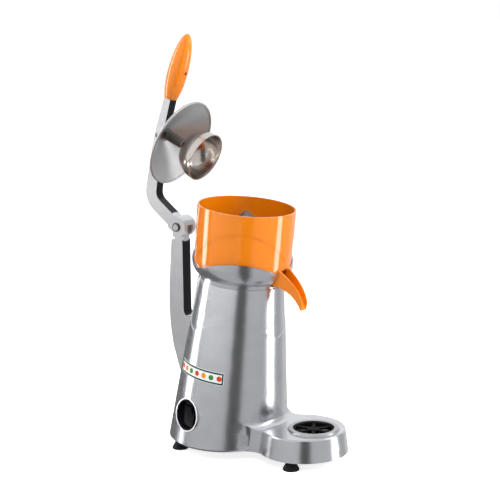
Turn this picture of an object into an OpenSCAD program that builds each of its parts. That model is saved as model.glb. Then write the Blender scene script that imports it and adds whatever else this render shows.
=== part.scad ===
// Electric citrus press with a lever: a leaning cast body, a plastic juice bowl with a spout,
// a driven reamer, and a lever that swings a press cup and a splash disc down over the fruit.
// +Z is up, -Y is the front with the spout, and the table is at Z = 0.

/* [Body] */
// Height of the bowl's rim centre above the table
rim_h = 380; // [370:1:395]
// Forward lean of the body and bowl axis, in degrees
tilt = 6.1; // [5:0.1:7]
// Half angle of the body's cone, in degrees
flare = 5.9; // [5.4:0.1:6.4]
// Wall thickness of the casting
body_wall = 4; // [3:0.5:5]
// Radius of each of the collar's arches
arch_r = 118; // [105:1:140]

/* [Bowl] */
// Outer diameter of the bowl
bowl_d = 150; // [146:1:156]
// Depth of the bowl from rim to underside
bowl_h = 111; // [108:1:114]
// Wall thickness of the bowl
bowl_wall = 2.5; // [2:0.1:3]
// Width of the spout where it leaves the bowl
spout_w = 28.6; // [24:0.2:32]

/* [Cup base] */
// Diameter of the cup base at its foot
cup_base_d = 136; // [130:1:142]
// Height of the cup base's top above the table
cup_base_h = 48.6; // [46:0.2:54]
// Distance of the cup base's centre in front of the bowl's centre
cup_base_dy = 98.5; // [92:0.5:104]
// Diameter of the raised drip tray
tray_d = 79; // [74:1:84]

/* [Feet] */
// Height of the rubber feet
foot_h = 14; // [12:0.5:18]
// Diameter of a foot on the table
foot_d = 25; // [22:0.5:28]

/* [Lever] */
// Swing of the lever from raised to lowered, in degrees
lever_travel = 65.5; // [64:0.5:66]
// Distance of the hinge pin behind the bowl's wall
pivot_gap = 49; // [48:0.5:52]
// Diameter of the hinge pin
pin_d = 10; // [8:0.5:11]
// Width of the arm
arm_w = 17; // [15:0.5:19]
// Length of the handle
handle_l = 105; // [95:1:118]
// Largest diameter of the handle
handle_d = 31.5; // [27:0.5:34]

/* [Press] */
// Diameter of the splash disc
press_disc_d = 140; // [128:1:141]
// Outer diameter of the press cup at its rim
press_cup_d = 78; // [74:0.5:80]

/* [Drive] */
// Diameter of the drive shaft
shaft_d = 12; // [10:0.5:13]
// Outer diameter of the motor's stator
stator_d = 100; // [92:1:101]
// Diameter of the round switch recess
switch_d = 48; // [44:0.5:49]

/* [Hidden] */
$fn = 96;
// Small overlap that makes cuts break through
eps = 1;
// Longer than any cut needs to be
far = rim_h + bowl_d;
// Gap between parts that must not touch
gap = 0.3;
// Running clearance on a shaft or pin
run = 0.05;

// Point on a circle of radius 1
function turn(a) = [cos(a), sin(a)];

// Point on a curve that leaves p towards q and comes from q to r
function curve(p, q, r, t) = p * (1 - t) * (1 - t) + q * 2 * t * (1 - t) + r * t * t;

// Bowl and collar, measured along the leaning axis from the rim plane downwards
bowl_r = bowl_d / 2;
bowl_round = 27;
bowl_floor_t = 4.5;
corner_x = bowl_r - bowl_round;
corner_z = -(bowl_h - bowl_round);
crease_step = 0.8;
crease_start = 1;
crease_top = 27.7;
crease_r = 70;
collar_t = 2.3;
collar_round = bowl_round + gap + collar_t;
collar_top = 73.5;
arch_az = [60, 180, 300];
bowl_seat_in = 2;
bowl_seat_r = corner_x - bowl_seat_in;
hub_in_r = 11.5;
hub_out_r = 14;
hub_top = 48;

// Strainer and the ribs that carry it
strainer_up = 20;
strainer_seat = bowl_h - strainer_up;
strainer_t = 1;
strainer_rim = 7;
strainer_side = 1.7;
strainer_r = bowl_r - bowl_wall - strainer_side;
strainer_hole = 1;
slot_count = 36;
slot_w = 2;
slot_in = 32;
slot_l = 26;
rib_count = 3;
rib_az = 90;
rib_in = 22;
rib_l = 14;
rib_t = 3;

// Spout, seen from the side and measured from the lower corner of the bowl's box
spout_crest = [2, 29];
spout_crown = [-35.5, 7];
spout_lip = [-41, -17];
spout_tip = [-39.3, -27];
spout_belly = [-25, 1.5];
spout_root = [8, 3];
spout_inner = [20, 2.4];
spout_steps = 8;
spout_top = [for (k = [0 : spout_steps]) curve(spout_crest, spout_crown, spout_lip, k / spout_steps)];
spout_bend = [for (k = [1 : spout_steps]) curve(spout_tip, spout_belly, spout_root, k / spout_steps)];
spout_low = concat(spout_bend, [spout_inner]);
spout_nose = -43;
spout_nose_w = 15;
spout_floor_t = 2.6;
spout_lift_angle = 130;
spout_wall = 2.3;
spout_mouth_up = 27;
spout_mouth_in = 18;
spout_sill = [19, 5.2];
spout_clear = 0.6;

// Motor's end plate, which fits inside the cone
motor_drop = 41;
motor_top = bowl_h + motor_drop;
plate_t = 6;
stator_r = stator_d / 2;
bolt_out = 4.5;
bolt_ring = stator_r + bolt_out;
plate_edge = 6.5;
plate_r = bolt_ring + plate_edge;
plate_side = 2;

// Body cone: its radius at the neck suits both the collar's round and the motor's end plate
neck_drop = 2;
neck_a = bowl_h + neck_drop;
neck_angle = 62;
neck_r = corner_x + cos(neck_angle) * collar_round;
shoulder = 5;
neck_fill_r = 65;
neck_fill_top = 104;
ledge_top = 168;
ledge_fall = 28;
ledge_r = 100;
ledge_step = 1;
motor_cone_r = plate_r + plate_side + ledge_step + body_wall / cos(flare);
cone_r0 = max(neck_r + shoulder, motor_cone_r - tan(flare) * (motor_top - neck_a));
deck_t = 8;
deck_under = bowl_h + deck_t;

function cone_r(a) = cone_r0 + tan(flare) * (a - neck_a);
function cone_inner_r(a) = cone_r(a) - body_wall / cos(flare);

// Lever hinge and arm, seen from the side and measured from the hinge pin
pivot_dy = bowl_r + pivot_gap;
pivot_drop = 40.8;
pivot_z = rim_h - pivot_drop;
bend = [26.7, 51.6];
bend_r = 16;
arm_t = 20;
arm_top_t = 12;
arm_low_angle = 38;
arm_lean = 11.6;
arm_top_lean = 20;
arm_low_l = 70;
arm_mid_l = 58;
arm_turn_l = 39;
arm_end_l = 51;
lug_w = 29;
lug_r = 16.5;
lug_back = 7;
tongue_w = 14;
tongue_r = 9;
stop_angle = lever_travel + 1;
bush_t = 2;
clip_t = 1.2;
clip_w = 2;
pin_end = 1;
post_clear = 3.5;
shoulder_drop = lug_r + post_clear;

// Corners of the arm's outer and inner edges, from the hinge to the handle
bend_out = bend_r + arm_t;
bend_steps = 16;
bend_start = arm_low_angle - 90;
bend_angles = [for (k = [0 : bend_steps]) bend_start + (arm_lean - bend_start) * k / bend_steps];
arm_o0 = bend + bend_out * turn(bend_start);
arm_i0 = bend + bend_r * turn(bend_start);
arm_o1 = bend + bend_out * turn(arm_lean);
arm_o2 = arm_o1 + arm_mid_l * turn(90 + arm_lean);
arm_o3 = arm_o2 + arm_turn_l * turn(90 + (arm_lean + arm_top_lean) / 2);
arm_o4 = arm_o3 + arm_end_l * turn(90 + arm_top_lean);
arm_i2 = arm_o2 - (arm_t * 2 + arm_top_t) / 3 * turn((arm_lean * 3 + arm_top_lean) / 4);
arm_i3 = arm_o3 - (arm_t + arm_top_t * 2) / 3 * turn((arm_lean + arm_top_lean * 3) / 4);
arm_i4 = arm_o4 - arm_top_t * turn(arm_top_lean);
arm_heel_z = arm_o0[1] - (arm_o0[0] - lug_back) * tan(arm_low_angle);
heel_step = 1;
slot_steps = 24;

// Handle: an egg shape on a stud, held by a cross screw
handle_foot = (arm_o4 + arm_i4) / 2;
handle_foot_r = 10;
handle_wide_z = 42;
handle_steps = 28;
handle_foot_angle = acos(handle_foot_r / (handle_d / 2));
handle_low_half = handle_wide_z / sin(handle_foot_angle);
handle_high_half = handle_l - handle_wide_z;
stud_r = 4;
stud_in = 20;
stud_out = 52;
handle_screw_z = 46;
handle_screw_r = 2.6;
handle_screw_sink = 2;

// Outline of the handle as (radius, height), from its foot at a negative angle to its tip at 90
function handle_point(a) =
    [handle_d / 2 * cos(a), handle_wide_z + (a < 0 ? handle_low_half : handle_high_half) * sin(a)];

// Press, measured from the cup's centre: its axis meets the reamer's axis when the lever is down
press_depth = 34.9;
press_tilt = 6.8;
cup_r = press_cup_d / 2;
cup_t = 1.8;
cup_lip = 4.4;
cup_flare = 0.8;
cup_ball_r = cup_r - cup_flare;
cup_ball_z = 0;
cup_boss_r = 8;
cup_boss_l = 3.5;
cup_seat = cup_ball_z - cup_ball_r - cup_boss_l;
cup_inner_seat = cup_ball_z - cup_ball_r + cup_boss_l;
cup_screw_r = 2.5;
cup_screw_l = 15;
cup_screw_head = [5.5, 4];
cup_screw_head_l = 2.5;
stem_r = 8;
stem_in = 11;
hub_seat = -79.5;
hub_r = 13;
disc_t = 1.5;
disc_hub_t = 2;
disc_rim_z = -45.5;
disc_bead_r = 1.8;
flange_r = 11;
flange_t = 2.5;
boss_back = -89;

// Reamer, measured from the rim plane downwards
reamer_tip = 5.5;
reamer_base = 65;
reamer_brim = 5;
reamer_r = 30.5;
reamer_point = 1.8;
reamer_skirt_r = 36;
reamer_skirt_t = 3;
reamer_rib_out = 2.2;
reamer_ribs = 10;
reamer_rib_t = 3;
reamer_rib_start = 5;
reamer_steps = 14;
reamer_boss_in = 1.5;
reamer_boss_r = hub_in_r - reamer_boss_in;
reamer_hollow = [[17, 36], [26, 57], [33, 63]];
shaft_top = 24;

// Outline of the reamer's dome as (radius, height), from its tip at 0 to its brim at 1
function dome(t) = [
    reamer_r * pow(sin(90 * t), reamer_point),
    -reamer_tip - (reamer_base - reamer_brim - reamer_tip) * (1 - cos(90 * t))
];

// Outline of a rib, which stands out from the dome
function rib_point(t) = dome(t) + [reamer_rib_out * sin(90 * t), 0];

// Switch's place on the body, and its depth from the rim plane
switch_up = 62;
switch_a = (rim_h - switch_up) / cos(tilt);
switch_clear = 21.8;
frame_l = 36;

// Drive, measured from the rim plane downwards
shaft_r = shaft_d / 2;
seal_r = 16;
seal_drop = 2.5;
seal_top = bowl_h + seal_drop;
seal_l = 8;
seal_boss_r = 22;
seal_boss_drop = 15;
seal_boss_end = bowl_h + seal_boss_drop;
bolt_r = 2.5;
bolt_clear = 0.1;
bolt_in = 12;
bolt_hole = 14;
bolt_head_r = 5;
bolt_head_l = 5;
end_l = 25;
pillar_r = 6.5;
pillar_angles = [45, 135, 225, 315];
bore_r = 31;
air_gap = 0.6;
rotor_r = bore_r - air_gap;
skirt_t = 4;
hub_out = 6;
motor_end = switch_a - frame_l / 2 - switch_clear - hub_out;
stator_l = motor_end - motor_top - (plate_t + end_l) * 2;
stator_top = motor_top + plate_t + end_l;
stator_end = stator_top + stator_l;
bearing_r = 16;
bearing_l = 10;
race_w = 3;
race_step = 1;
bearing_hub_r = 21;
hub_lip = 3;
hub_inset = 1;
hub_end = plate_t + hub_out - hub_inset;
lip_r = 9;
coil_in_r = 33;
coil_gap = 1;
coil_out_r = stator_r - skirt_t - coil_gap;
coil_l = 19;
rotor_inset = 2;
shaft_inset = 1;
shaft_end = motor_end + hub_out - shaft_inset;

// Frame: the object's box is centred on the origin in X and Y and stands on Z = 0
cup_base_r = cup_base_d / 2;
box_back = pivot_dy + bend[0] + bend_out;
box_front = -(cup_base_dy + cup_base_r);
bowl_y = -(box_back + box_front) / 2;
pivot_y = bowl_y + pivot_dy;

// Foot of the body on the base plane
axis_drop = (rim_h - foot_h) / cos(tilt);
body_cy = bowl_y + tan(tilt) * (rim_h - foot_h);
body_foot_r = cone_r(axis_drop);
foot_edge = 4;

// Cup base and tray
cup_base_draft = 4;
cup_base_cy = bowl_y - cup_base_dy;
cup_base_top_r = cup_base_r - cup_base_draft;
cup_base_edge = 1.5;
tray_dy = 18;
tray_cy = cup_base_cy - tray_dy;
tray_r = tray_d / 2;
tray_up = 3;
tray_draft = 2;
tray_rim_w = 6.5;
well_r = tray_r - tray_rim_w;
well_wall = 1.5;
well_under = 6.5;
well_floor = well_under - well_wall;
grille_r = well_r - well_wall - gap;
grille_up = 1;
grille_ring_w = 3;
grille_bar_t = 3.5;
grille_bar_drop = 0.5;
grille_bars = 3;
grille_bar_w = 4;
grille_bar_az = 30;
grille_boss_r = 9;
grille_boss_t = 5;
blend_r = 30;
skirt_blend = 13;
skirt_sink = 0.8;
blend_sink = 0.4;
blend_step = 0.2;
blend_top = cup_base_h - blend_step;

// Where the leaning wall cuts a level plane; s is -1 for the front and 1 for the back
function wall_depth(s, z) =
    (rim_h - z + s * cone_r(0) * sin(tilt)) / (cos(tilt) - s * tan(flare) * sin(tilt));
function wall_y(s, z) = bowl_y + s * cone_r(wall_depth(s, z)) * cos(tilt) + wall_depth(s, z) * sin(tilt);
function wall_cy(z) = (wall_y(1, z) + wall_y(-1, z)) / 2;
function wall_r(z) = (wall_y(1, z) - wall_y(-1, z)) / 2;

// Centre of the side blend's circle, which touches a circle of the body and one of the cup base
function blend_spot(body_y, body_r, base_r) =
    let (span = body_y - cup_base_cy)
    let (from_body = body_r + blend_r - blend_sink)
    let (from_base = base_r + blend_r - blend_sink)
    let (along = (span * span + from_body * from_body - from_base * from_base) / (2 * span))
    [sqrt(from_body * from_body - along * along), body_y - along];

// Feet, base plate and their screws
plate_gap = 1;
base_t = 2;
foot_top_r = 7;
foot_sole = 2;
foot_collar = 2;
foot_recess = 5;
foot_screw_r = 2.5;
foot_screw_l = 24;
foot_head_r = 5;
foot_head_l = 3;
foot_boss_r = 8;
foot_boss_top = 40;
front_foot_in = 14;
front_foot_x = cup_base_r - front_foot_in;
front_foot_dy = 11.5;
front_foot_y = cup_base_cy - front_foot_dy;
back_foot_in = 13.5;
back_foot_r = body_foot_r - back_foot_in;
back_foot_az = 52;
back_foot_x = back_foot_r * sin(back_foot_az);
back_foot_y = body_cy + back_foot_r * cos(back_foot_az);
foot_spots = [
    [-front_foot_x, front_foot_y],
    [front_foot_x, front_foot_y],
    [-back_foot_x, back_foot_y],
    [back_foot_x, back_foot_y]
];

// Switch in its round recess, measured from the body's wall
switch_az = 106;
switch_r = switch_d / 2;
switch_fit = 0.1;
switch_lip = 1.8;
switch_lip_up = 1;
switch_cup_t = 1.5;
switch_floor = -9;
switch_floor_t = 5;
frame_w = 21;
frame_t = 2;
frame_top = -5;
frame_in = -30;
rocker_l = 30;
rocker_w = 15.5;
rocker_swing = 20;
rocker_axis_z = -11;
rocker_hub_r = 4.2;
rocker_hub_steps = 8;
rocker_horn = [14.2, 8.6];
rocker_waist = 6;
rocker_edge = 3;
rocker_pin_r = 1.5;
rocker_room = 9;

// Cable gland, seated on flat spots that are cut into the wall
gland_az = 212;
gland_up = 45;
gland_a = (rim_h - gland_up) / cos(tilt);
gland_r = 8;
gland_hex_r = 11;
gland_hex_t = 6;
gland_spot_edge = 0.5;
gland_spot_r = gland_hex_r + gland_spot_edge;
gland_spot = 0.7;
gland_cap = [9, 6];
gland_cap_l = 8;
gland_hole_r = 4;
gland_in = 9;
nut_t = 5;

// Label and post screws
label_az = 100;
label_span = 66;
label_over_switch = 78.3;
label_a = switch_a - label_over_switch;
label_h = 19;
label_t = 0.5;
post_screw_a = [212, 262];
post_screw_r = 3;
post_screw_l = 17;
post_hole_l = 18;
post_head_r = 5;
post_head_l = 4;

// Rear post, seen from the side and measured from the hinge pin; its back edge as (Y, drop)
post_w = 21;
post_front = -8;
post_slot_low = -132;
post_slot_r = 10.5;
post_low = -250;
post_in = -125;
post_back = [[13, shoulder_drop], [19, 90], [20, 125], [18.5, 160], [13.5, 192], [5, 220], [-6, 250]];

// Parts on the base plate
cap_r = 18;
cap_l = 60;
cap_x = 36;
cap_front = 20;
cap_post_r = 6;
cap_post_l = 6;
strap_t = 1.5;
strap_w = 14;
strap_foot = 12;
block_size = [22, 44, 16];
block_front = 56;
block_wires = 4;
block_wire_r = 2.2;

// Leaning frame: the origin is the rim's centre and the axis runs down along -Z
module head() {
    translate([0, bowl_y, rim_h]) rotate([tilt, 0, 0]) children();
}

// Upright frame at the hinge pin, with the lever raised
module hinge() {
    translate([0, pivot_y, pivot_z]) children();
}

// Frame of the press cup with the lever raised: the origin is the cup's centre, +Z leaves the cup
module press() {
    hinge() rotate([-lever_travel, 0, 0]) translate([0, -pivot_y, -pivot_z])
        head() translate([0, 0, -press_depth]) rotate([180 - press_tilt, 0, 0]) children();
}

// Frame of the handle: +Z runs along the handle
module handle_frame() {
    hinge() translate([0, handle_foot[0], handle_foot[1]]) rotate([arm_top_lean, 0, 0]) children();
}

// Frame on the body's cone: +Z is the outward normal and +X runs down the wall
module on_cone(az, a) {
    head() translate([0, 0, -a]) rotate([0, 0, 270 - az]) translate([cone_r(a), 0, 0])
        rotate([0, 90 - flare, 0]) children();
}

// Round bar in a frame on the cone, from one height to another
module peg(r, z0, z1) {
    translate([0, 0, z0]) cylinder(r = r, h = z1 - z0);
}

// Extrudes a side view, drawn as (Y, Z), to a width across X
module side(w) {
    rotate([90, 0, 90]) linear_extrude(w, center = true) children();
}

// Round bar across X, centred on the frame's origin
module cross_bar(r, l) {
    rotate([0, 90, 0]) cylinder(r = r, h = l, center = true);
}

// Round bar from one depth to another along the leaning axis
module rod(r, a0, a1) {
    translate([0, 0, -a1]) cylinder(r = r, h = a1 - a0);
}

// Ring from one depth to another along the leaning axis
module ring(r_out, r_in, a0, a1) {
    difference() {
        rod(r_out, a0, a1);
        rod(r_in, a0 - eps, a1 + eps);
    }
}

// Repeats its children at the motor's four bolts
module at_bolts() {
    for (a = pillar_angles) rotate([0, 0, a]) translate([bolt_ring, 0, 0]) children();
}

// Three round arches, as bars that run outwards from the axis
module arches(top, r) {
    for (az = arch_az) translate([0, 0, -top - r]) rotate([0, 0, 270 - az]) rotate([0, 90, 0])
        cylinder(r = r, h = bowl_d);
}

// Half outline of a round-bottomed cup, grown by a margin
module cup_profile(margin, top) {
    difference() {
        union() {
            translate([0, corner_z]) square([bowl_r + margin, top - corner_z]);
            translate([0, corner_z - bowl_round - margin]) square([corner_x, bowl_round + margin]);
            translate([corner_x, corner_z]) circle(r = bowl_round + margin);
        }
        translate([-far, -far]) square([far, far * 2]);
    }
}

// Everything under the base plane
module below_base() {
    translate([-far, -far, foot_h - far]) cube([far * 2, far * 2, far]);
}

// Outer cone of the body with its shoulder, without the base cut
module cone_solid() {
    rotate_extrude() {
        polygon([
            [0, -neck_a],
            [neck_r, -neck_a],
            [cone_r(neck_a + shoulder), -neck_a - shoulder],
            [cone_r(far), -far],
            [0, -far]
        ]);
        intersection() {
            translate([cone_r(neck_a + shoulder) - shoulder, -neck_a - shoulder]) circle(r = shoulder);
            translate([0, -neck_a - shoulder]) square([cone_r0 + shoulder, shoulder * 2]);
        }
    }
}

// Shallow step that leaves the lower body standing proud under its arches
module ledge_cut() {
    low = ledge_top + ledge_fall;
    difference() {
        rotate_extrude() polygon([
            [cone_r(neck_a) - ledge_step, -neck_a],
            [cone_r(neck_a) + shoulder, -neck_a],
            [cone_r(low) + shoulder, -low],
            [cone_r(low) - ledge_step, -low]
        ]);
        arches(ledge_top, ledge_r);
    }
}

// Upright cone that bevels the body's foot edge, drawn in by an inset
module foot_bevel(inset) {
    r = body_foot_r - foot_edge - inset;
    translate([0, body_cy, foot_h - eps]) cylinder(r1 = r - eps, r2 = r + rim_h, h = rim_h + eps);
}

// Prism between body and cup base, hollowed on both sides by leaning bars that touch both
module base_blend() {
    low = blend_spot(body_cy, body_foot_r - foot_edge, cup_base_r);
    high = blend_spot(wall_cy(blend_top), wall_r(blend_top), cup_base_top_r);
    shift = high - low;
    lean = atan2(norm(shift), blend_top - foot_h);
    difference() {
        translate([0, 0, foot_h]) linear_extrude(rim_h)
            polygon([[0, body_cy], high, [0, cup_base_cy], [-high[0], high[1]]]);
        for (s = [0, 1]) mirror([s, 0, 0]) translate([low[0], low[1], foot_h])
            rotate([0, lean, atan2(shift[1], shift[0])]) cylinder(r = blend_r, h = rim_h, center = true);
    }
}

// Hollow blend between the cup base's top and the body's wall
module skirt_ring() {
    top = cup_base_h + skirt_blend;
    r = wall_r(top) - skirt_sink;
    translate([0, wall_cy(top), 0]) rotate_extrude() difference() {
        translate([r - body_wall, cup_base_h - eps]) square([body_wall + skirt_blend, skirt_blend + eps]);
        translate([r + skirt_blend, top - blend_sink]) circle(r = skirt_blend);
    }
}

// Both blends, kept inside the plan of the cup base and of the prism
module base_join() {
    intersection() {
        union() {
            translate([-far, -far, foot_h - eps]) cube([far * 2, far * 2, blend_top - foot_h + eps]);
            skirt_ring();
        }
        union() {
            base_blend();
            translate([0, cup_base_cy, foot_h])
                cylinder(r = cup_base_top_r - cup_base_edge / 2, h = rim_h);
        }
    }
}

// Body outside: collar, cone, cup base and the blends between them
module body_outside() {
    cup_side = cup_base_h - cup_base_edge - foot_h;
    intersection() {
        head() rotate_extrude() cup_profile(gap + collar_t, 0);
        head() arches(collar_top, arch_r);
    }
    intersection() {
        head() difference() {
            cone_solid();
            ledge_cut();
        }
        foot_bevel(0);
    }
    translate([0, cup_base_cy, foot_h]) {
        cylinder(r1 = cup_base_r, r2 = cup_base_top_r, h = cup_side);
        translate([0, 0, cup_side])
            cylinder(r1 = cup_base_top_r, r2 = cup_base_top_r - cup_base_edge, h = cup_base_edge);
    }
    head() rod(neck_fill_r, neck_fill_top, neck_a + shoulder);
    base_join();
    on_cone(switch_az, switch_a) peg(switch_r + switch_lip, -body_wall, switch_lip_up);
}

// Hollow inside of the cone, with the motor's pillars and the seal's boss left standing
module body_hollow() {
    difference() {
        rotate_extrude() polygon([
            [0, -deck_under],
            [cone_inner_r(deck_under) - ledge_step, -deck_under],
            [cone_inner_r(ledge_top) - ledge_step, -ledge_top],
            [cone_inner_r(far), -far],
            [0, -far]
        ]);
        rod(seal_boss_r, neck_a, seal_boss_end);
        at_bolts() rod(pillar_r, neck_a, motor_top);
    }
}

// Hollow of the cup base, with its front screw bosses left standing
module cup_base_hollow() {
    difference() {
        translate([0, cup_base_cy, foot_h - eps]) cylinder(
            r1 = cup_base_r - body_wall,
            r2 = cup_base_top_r - body_wall,
            h = cup_base_h - body_wall - foot_h + eps
        );
        for (k = [0, 1]) translate([foot_spots[k][0], foot_spots[k][1], foot_h + base_t])
            cylinder(r = foot_boss_r, h = cup_base_h);
    }
}

// Rear screw bosses, which join the wall
module back_bosses() {
    intersection() {
        for (k = [2, 3]) translate([foot_spots[k][0], foot_spots[k][1], foot_h + base_t])
            cylinder(r = foot_boss_r + body_wall, h = foot_boss_top - foot_h);
        head() cone_solid();
    }
}

// Holes in the casing for the drive, the spout and the motor's bolts
module drive_holes() {
    rod(seal_r, seal_top, seal_boss_end + eps);
    rod(lip_r, bowl_h - eps, seal_top + eps);
    at_bolts() rod(bolt_r, motor_top - bolt_hole, motor_top + eps);
    side(spout_w + spout_clear * 2) translate([-bowl_r * 2, -bowl_h]) square([bowl_r * 1.5, bowl_h]);
}

// Holes and flat spots in the casing's wall
module wall_holes() {
    on_cone(switch_az, switch_a) peg(switch_r, frame_in, -frame_in);
    on_cone(gland_az, gland_a) {
        peg(gland_r, frame_in, -frame_in);
        peg(gland_spot_r, -gland_spot, -frame_in);
        peg(gland_spot_r, frame_in, -body_wall);
    }
    for (a = post_screw_a) on_cone(180, a) {
        peg(post_screw_r + bolt_clear, frame_in, -frame_in);
        peg(post_head_r + bolt_clear, frame_in, -body_wall);
    }
}

module body_casing() {
    color("lightgray") difference() {
        union() {
            difference() {
                body_outside();
                intersection() {
                    head() body_hollow();
                    foot_bevel(body_wall);
                }
                cup_base_hollow();
                head() difference() {
                    rotate_extrude() cup_profile(gap, eps);
                    rod(bowl_seat_r, bowl_h, neck_a + eps);
                }
            }
            back_bosses();
        }
        below_base();
        head() drive_holes();
        wall_holes();
        translate([0, tray_cy, cup_base_h - well_under * 2]) cylinder(r = well_r + gap, h = well_under * 3);
        for (p = foot_spots) translate([p[0], p[1], 0]) cylinder(r = foot_screw_r, h = foot_screw_l + foot_h);
    }
}

// Side view of the post with its tongue and the slot behind the body
module post_profile() {
    difference() {
        union() {
            polygon(concat(
                [[post_in, post_low], [post_in, post_slot_low], [post_front, post_slot_low]],
                [[post_front, -shoulder_drop]],
                [for (p = post_back) [p[0], -p[1]]]
            ));
            translate([-tongue_r, -shoulder_drop]) square([tongue_r * 2, shoulder_drop]);
        }
        translate([post_front - post_slot_r, post_slot_low]) circle(r = post_slot_r);
    }
}

module lever_post() {
    color("lightgray") difference() {
        union() {
            difference() {
                hinge() side(post_w) post_profile();
                for (s = [-1, 1]) hinge() translate([s * (tongue_w + lug_w) / 2, 0, 0]) side(lug_w)
                    translate([-far, -shoulder_drop]) square([far * 2, far]);
            }
            hinge() side(tongue_w) circle(r = tongue_r);
        }
        head() cone_solid();
        hinge() cross_bar(pin_d / 2, lug_w * 2);
        for (a = post_screw_a) on_cone(180, a) peg(post_screw_r, -eps, post_hole_l);
    }
}

module base_plate() {
    color("silver") translate([0, 0, foot_h]) difference() {
        linear_extrude(base_t) {
            translate([0, body_cy]) circle(r = body_foot_r - foot_edge - body_wall - plate_gap);
            translate([0, cup_base_cy]) circle(r = cup_base_r - body_wall - plate_gap);
        }
        for (p = foot_spots) translate([p[0], p[1], -eps])
            cylinder(r = foot_screw_r + bolt_clear, h = base_t + eps * 2);
    }
}

module foot(k) {
    color([0.08, 0.08, 0.09]) translate([foot_spots[k][0], foot_spots[k][1], 0]) difference() {
        union() {
            cylinder(r = foot_d / 2, h = foot_sole);
            translate([0, 0, foot_sole])
                cylinder(r1 = foot_d / 2, r2 = foot_top_r, h = foot_h - foot_sole - foot_collar);
            translate([0, 0, foot_h - foot_collar]) cylinder(r = foot_top_r, h = foot_collar);
        }
        translate([0, 0, -eps]) cylinder(r = foot_head_r, h = foot_recess + eps);
        cylinder(r = foot_screw_r, h = foot_h + eps);
    }
}

module foot_screws() {
    color("silver") for (p = foot_spots) translate([p[0], p[1], foot_recess - foot_head_l]) {
        cylinder(r = foot_head_r, h = foot_head_l);
        cylinder(r = foot_screw_r, h = foot_screw_l);
    }
}

module post_screws() {
    color("dimgray") for (a = post_screw_a) on_cone(180, a) {
        peg(post_head_r, -body_wall - post_head_l, -body_wall);
        peg(post_screw_r, -body_wall, post_screw_l);
    }
}

module drip_tray() {
    color("gainsboro") translate([0, tray_cy, cup_base_h]) difference() {
        union() {
            cylinder(r1 = tray_r, r2 = tray_r - tray_draft, h = tray_up);
            translate([0, 0, -well_under]) cylinder(r = well_r, h = well_under);
        }
        translate([0, 0, -well_floor]) cylinder(r = well_r - well_wall, h = well_floor + tray_up + eps);
    }
}

module drip_grille() {
    color([0.05, 0.05, 0.05]) translate([0, tray_cy, cup_base_h]) {
        difference() {
            translate([0, 0, -well_floor]) cylinder(r = grille_r, h = well_floor + grille_up);
            translate([0, 0, -far / 2]) cylinder(r = grille_r - grille_ring_w, h = far);
        }
        intersection() {
            for (k = [0 : grille_bars - 1]) rotate([0, 0, grille_bar_az + 180 / grille_bars * k])
                translate([-grille_r, -grille_bar_w / 2, grille_up - grille_bar_drop - grille_bar_t])
                    cube([grille_r * 2, grille_bar_w, grille_bar_t]);
            translate([0, 0, -far / 2]) cylinder(r = grille_r - grille_ring_w / 2, h = far);
        }
        rotate([0, 0, grille_bar_az]) translate([0, 0, grille_up - grille_boss_t])
            cylinder(r = grille_boss_r, h = grille_boss_t);
    }
}

// Side view of the spout's outside
module spout_outline() {
    polygon(concat([[spout_inner[0], spout_crest[1]]], spout_top, [spout_tip], spout_low));
}

// Side view of the open channel over the spout's floor
module spout_channel() {
    polygon(concat(
        [for (p = spout_low) p + spout_floor_t * turn(spout_lift_angle)],
        [spout_sill, [spout_sill[0], bowl_h], [-far, bowl_h], [-far, spout_tip[1] - spout_floor_t]],
        [spout_tip - spout_floor_t * [1, 1]]
    ));
}

// Column over the plan view of the spout, which narrows to its nose
module spout_column(inset) {
    w = spout_w / 2 - inset;
    n = spout_nose_w / 2 - inset;
    tip = spout_nose - bowl_r;
    translate([0, 0, -far]) linear_extrude(far)
        polygon([[-w, 0], [w, 0], [w, -bowl_r], [n, tip], [-n, tip], [-w, -bowl_r]]);
}

// Space inside the bowl, with the hub and the strainer's ribs left standing
module bowl_inside() {
    difference() {
        rotate_extrude() difference() {
            cup_profile(-bowl_wall, eps);
            translate([0, -far]) square([bowl_r, far - bowl_h + bowl_floor_t]);
        }
        rod(hub_out_r, hub_top, bowl_h);
        for (k = [0 : rib_count - 1]) rotate([0, 0, rib_az + 360 / rib_count * k])
            translate([bowl_r - rib_in, -rib_t / 2, -bowl_h]) cube([rib_l, rib_t, bowl_h - strainer_seat]);
    }
}

module bowl() {
    color("darkorange") head() difference() {
        union() {
            rotate_extrude() cup_profile(0, 0);
            intersection() {
                side(spout_w) translate([-bowl_r, -bowl_h]) spout_outline();
                spout_column(0);
            }
        }
        bowl_inside();
        rod(hub_in_r, hub_top - eps, bowl_h + eps);
        intersection() {
            side(spout_w) translate([-bowl_r, -bowl_h]) spout_channel();
            spout_column(spout_wall);
            ring(far, bowl_r - spout_mouth_in, bowl_h - spout_mouth_up, far);
        }
        intersection() {
            ring(bowl_r + eps, bowl_r - crease_step, crease_start, bowl_h - bowl_round);
            arches(crease_top, crease_r);
        }
    }
}

module strainer() {
    color("silver") head() difference() {
        union() {
            ring(strainer_r, hub_out_r + strainer_hole, strainer_seat - strainer_t, strainer_seat);
            ring(strainer_r, strainer_r - strainer_t, strainer_seat - strainer_rim, strainer_seat);
        }
        for (k = [0 : slot_count - 1]) rotate([0, 0, 360 / slot_count * k])
            translate([slot_in, -slot_w / 2, -strainer_seat - eps])
                cube([slot_l, slot_w, strainer_t + eps * 2]);
    }
}

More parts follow.
